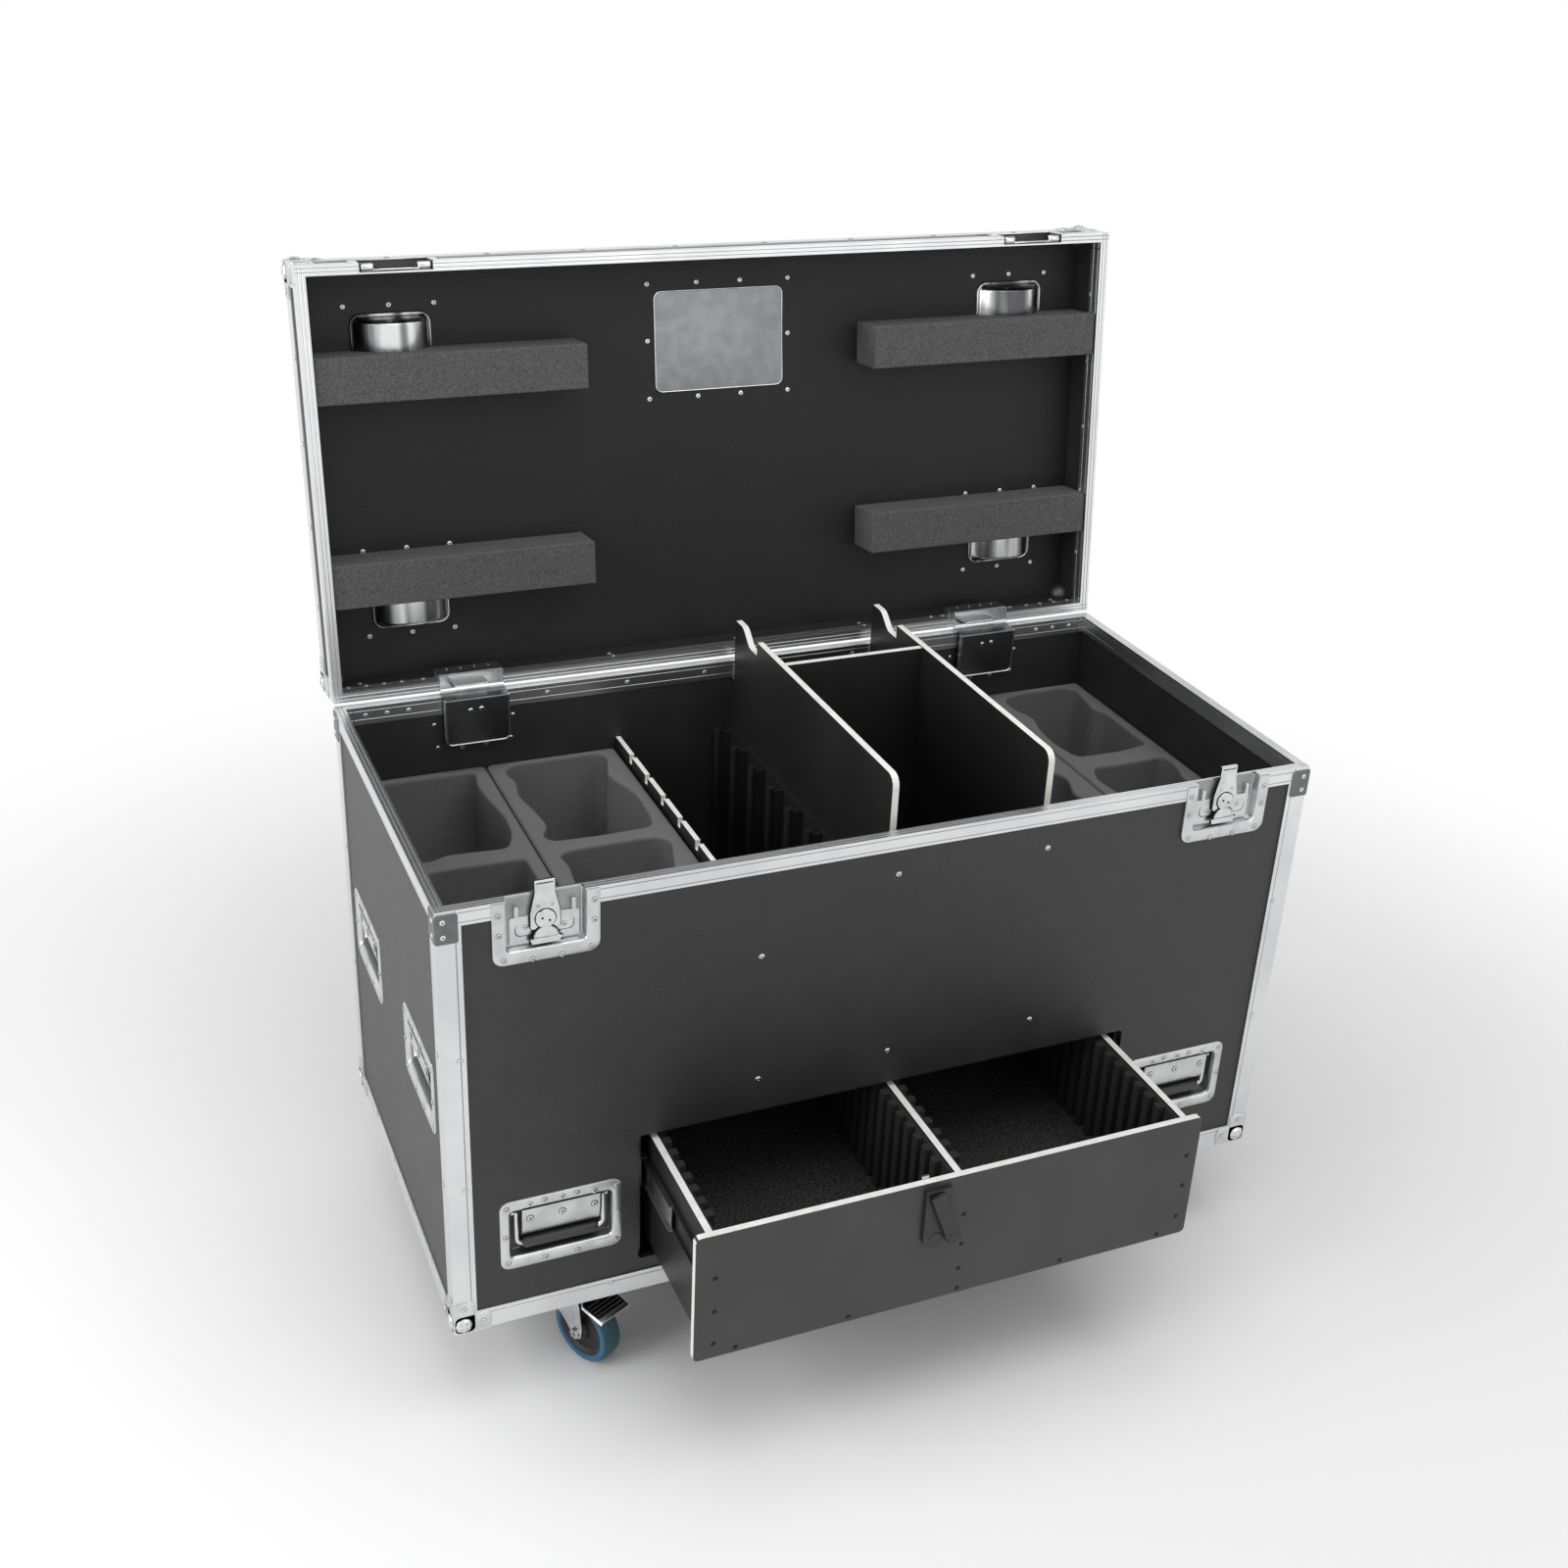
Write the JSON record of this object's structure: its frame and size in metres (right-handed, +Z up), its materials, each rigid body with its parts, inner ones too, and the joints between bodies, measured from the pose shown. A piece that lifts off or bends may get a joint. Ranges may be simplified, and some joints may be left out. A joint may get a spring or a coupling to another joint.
{
  "type": "charging flight case",
  "caption": "Wheeled flight case with a hinged lid, foam device pockets, a slotted charging bay and a divided drawer on runners.",
  "frame": {"origin": "centre of the case's flat underside, on the bottom face of the base", "axes": "+X to the right as seen from the drawer side, +Y to the hinge side at the back, +Z up"},
  "size_m": [1.211, 0.9469, 1.3479],
  "materials": {
    "aluminium": "satin, finely grooved",
    "steel": "bright zinc",
    "laminate": "dark grey textured laminate",
    "board": "black film on birch board",
    "foam": "dark closed-cell foam",
    "black": "matt black",
    "tyre": "matt blue"
  },
  "bodies": {
    "case": {"case_frame": "aluminium", "rear_rim": "aluminium", "front_panel": "laminate", "back_panel": "laminate", "left_panel": "laminate", "right_panel": "laminate", "base_panel": "board", "drawer_bay": "board", "centre_bin": "board", "slot_panel": "board", "finger_rail": "board", "foam_insert_1": "foam", "foam_insert_2": "foam", "foam_insert_3": "foam", "foam_insert_4": "foam", "latch_dish_left": "steel", "latch_dish_right": "steel", "hinge_dish_left": "steel", "hinge_dish_right": "steel", "handle_dish_front_left": "steel", "handle_dish_front_right": "steel", "handle_dish_left_front": "steel", "handle_dish_left_rear": "steel", "handle_dish_right_front": "steel", "handle_dish_right_rear": "steel"},
    "lid": {"lid_frame": "aluminium", "lid_panel": "laminate", "lid_walls": "laminate", "lid_foam_left_rear": "foam", "lid_foam_left_front": "foam", "lid_foam_right_rear": "foam", "lid_foam_right_front": "foam"},
    "drawer": {"drawer_box": "board", "drawer_front": "board", "drawer_liner_left": "foam", "drawer_liner_right": "foam"},
    "runner_middle_left": {"runner_middle_left": "steel"},
    "runner_middle_right": {"runner_middle_right": "steel"},
    "drawer_latch_lever": {"drawer_latch_lever": "black"},
    "drawer_latch_bolt": {"drawer_latch_bolt": "steel"},
    "latch_turn_left": {"latch_turn_left": "steel"},
    "latch_hook_left": {"latch_hook_left": "steel"},
    "latch_turn_right": {"latch_turn_right": "steel"},
    "latch_hook_right": {"latch_hook_right": "steel"},
    "handle_bail_front_left": {"handle_bail_front_left": "black"},
    "handle_bail_front_right": {"handle_bail_front_right": "black"},
    "handle_bail_left_front": {"handle_bail_left_front": "black"},
    "handle_bail_left_rear": {"handle_bail_left_rear": "black"},
    "handle_bail_right_front": {"handle_bail_right_front": "black"},
    "handle_bail_right_rear": {"handle_bail_right_rear": "black"},
    "castor_fork_front_left": {"castor_fork_front_left": "steel"},
    "castor_wheel_front_left": {"castor_wheel_front_left": "tyre"},
    "brake_pedal_front_left": {"brake_pedal_front_left": "steel"},
    "castor_fork_front_right": {"castor_fork_front_right": "steel"},
    "castor_wheel_front_right": {"castor_wheel_front_right": "tyre"},
    "brake_pedal_front_right": {"brake_pedal_front_right": "steel"},
    "castor_fork_rear_left": {"castor_fork_rear_left": "steel"},
    "castor_wheel_rear_left": {"castor_wheel_rear_left": "tyre"},
    "castor_fork_rear_right": {"castor_fork_rear_right": "steel"},
    "castor_wheel_rear_right": {"castor_wheel_rear_right": "tyre"}
  },
  "joints": [
    {"name": "lid_hinge", "type": "hinge", "parent": "case", "child": "lid", "pos_m": [0, 0.2934, 0.6254], "axis": [1, 0, 0], "range_deg": [0, 96.17]},
    {"name": "drawer_slide", "type": "slide", "parent": "case", "child": "drawer", "axis": [0, 1, 0], "range_m": [-0.2, 0.2023]},
    {"name": "runner_slide_left", "type": "slide", "parent": "case", "child": "runner_middle_left", "axis": [0, 1, 0], "range_m": [-0.1, 0.10115]},
    {"name": "runner_slide_right", "type": "slide", "parent": "case", "child": "runner_middle_right", "axis": [0, 1, 0], "range_m": [-0.1, 0.10115]},
    {"name": "drawer_latch_turn", "type": "hinge", "parent": "drawer", "child": "drawer_latch_lever", "pos_m": [-0.032, -0.498, 0.214], "axis": [0, 1, 0], "range_deg": [0, 21]},
    {"name": "drawer_bolt_slide", "type": "slide", "parent": "drawer", "child": "drawer_latch_bolt", "axis": [0, 0, 1], "range_m": [0, 0.008]},
    {"name": "latch_turn_left", "type": "hinge", "parent": "case", "child": "latch_turn_left", "pos_m": [-0.47, -0.2912, 0.59], "axis": [0, 1, 0], "range_deg": [0, 180]},
    {"name": "latch_hook_slide_left", "type": "slide", "parent": "case", "child": "latch_hook_left", "axis": [0, 0.2265, -0.974], "range_m": [0, 0.00883]},
    {"name": "latch_turn_right", "type": "hinge", "parent": "case", "child": "latch_turn_right", "pos_m": [0.47, -0.2912, 0.59], "axis": [0, 1, 0], "range_deg": [0, 180]},
    {"name": "latch_hook_slide_right", "type": "slide", "parent": "case", "child": "latch_hook_right", "axis": [0, 0.2265, -0.974], "range_m": [0, 0.00883]},
    {"name": "handle_swing_front_left", "type": "hinge", "parent": "case", "child": "handle_bail_front_left", "pos_m": [-0.457, -0.2822, 0.1645], "axis": [-1, 0, 0], "range_deg": [0, 90], "stiffness_Nm_per_rad": 0.25},
    {"name": "handle_swing_front_right", "type": "hinge", "parent": "case", "child": "handle_bail_front_right", "pos_m": [0.457, -0.2822, 0.1645], "axis": [-1, 0, 0], "range_deg": [0, 90], "stiffness_Nm_per_rad": 0.25},
    {"name": "handle_swing_left_front", "type": "hinge", "parent": "case", "child": "handle_bail_left_front", "pos_m": [-0.5902, -0.153, 0.3475], "axis": [0, 1, 0], "range_deg": [0, 90], "stiffness_Nm_per_rad": 0.25},
    {"name": "handle_swing_left_rear", "type": "hinge", "parent": "case", "child": "handle_bail_left_rear", "pos_m": [-0.5902, 0.153, 0.3475], "axis": [0, 1, 0], "range_deg": [0, 90], "stiffness_Nm_per_rad": 0.25},
    {"name": "handle_swing_right_front", "type": "hinge", "parent": "case", "child": "handle_bail_right_front", "pos_m": [0.5902, -0.153, 0.3475], "axis": [0, -1, 0], "range_deg": [0, 90], "stiffness_Nm_per_rad": 0.25},
    {"name": "handle_swing_right_rear", "type": "hinge", "parent": "case", "child": "handle_bail_right_rear", "pos_m": [0.5902, 0.153, 0.3475], "axis": [0, -1, 0], "range_deg": [0, 90], "stiffness_Nm_per_rad": 0.25},
    {"name": "castor_swivel_front_left", "type": "hinge", "parent": "case", "child": "castor_fork_front_left", "pos_m": [-0.4235, -0.207, -0.009], "axis": [0, 0, 1], "continuous": true},
    {"name": "castor_roll_front_left", "type": "hinge", "parent": "castor_fork_front_left", "child": "castor_wheel_front_left", "pos_m": [-0.40772, -0.23936, -0.09], "axis": [0.8988, 0.4384, 0], "continuous": true},
    {"name": "brake_press_front_left", "type": "hinge", "parent": "castor_fork_front_left", "child": "brake_pedal_front_left", "pos_m": [-0.41561, -0.22318, -0.02625], "axis": [0.8988, 0.4384, 0], "range_deg": [0, 8], "stiffness_Nm_per_rad": 1, "springref_deg": -2.86},
    {"name": "castor_swivel_front_right", "type": "hinge", "parent": "case", "child": "castor_fork_front_right", "pos_m": [0.4235, -0.207, -0.009], "axis": [0, 0, 1], "continuous": true},
    {"name": "castor_roll_front_right", "type": "hinge", "parent": "castor_fork_front_right", "child": "castor_wheel_front_right", "pos_m": [0.43928, -0.23936, -0.09], "axis": [0.8988, 0.4384, 0], "continuous": true},
    {"name": "brake_press_front_right", "type": "hinge", "parent": "castor_fork_front_right", "child": "brake_pedal_front_right", "pos_m": [0.43139, -0.22318, -0.02625], "axis": [0.8988, 0.4384, 0], "range_deg": [0, 8], "stiffness_Nm_per_rad": 1, "springref_deg": -2.86},
    {"name": "castor_swivel_rear_left", "type": "hinge", "parent": "case", "child": "castor_fork_rear_left", "pos_m": [-0.4235, 0.207, -0.009], "axis": [0, 0, 1], "continuous": true},
    {"name": "castor_roll_rear_left", "type": "hinge", "parent": "castor_fork_rear_left", "child": "castor_wheel_rear_left", "pos_m": [-0.40772, 0.17464, -0.09], "axis": [0.8988, 0.4384, 0], "continuous": true},
    {"name": "castor_swivel_rear_right", "type": "hinge", "parent": "case", "child": "castor_fork_rear_right", "pos_m": [0.4235, 0.207, -0.009], "axis": [0, 0, 1], "continuous": true},
    {"name": "castor_roll_rear_right", "type": "hinge", "parent": "castor_fork_rear_right", "child": "castor_wheel_rear_right", "pos_m": [0.43928, 0.17464, -0.09], "axis": [0.8988, 0.4384, 0], "continuous": true}
  ],
  "couplings": [
    {"joint": "runner_slide_left", "follows": "drawer_slide", "ratio": 0.5},
    {"joint": "runner_slide_right", "follows": "drawer_slide", "ratio": 0.5},
    {"joint": "drawer_bolt_slide", "follows": "drawer_latch_turn", "m_per_rad": 0.021826},
    {"joint": "latch_hook_slide_left", "follows": "latch_turn_left", "m_per_rad": 0.0028095},
    {"joint": "latch_hook_slide_right", "follows": "latch_turn_right", "m_per_rad": 0.0028095}
  ]
}
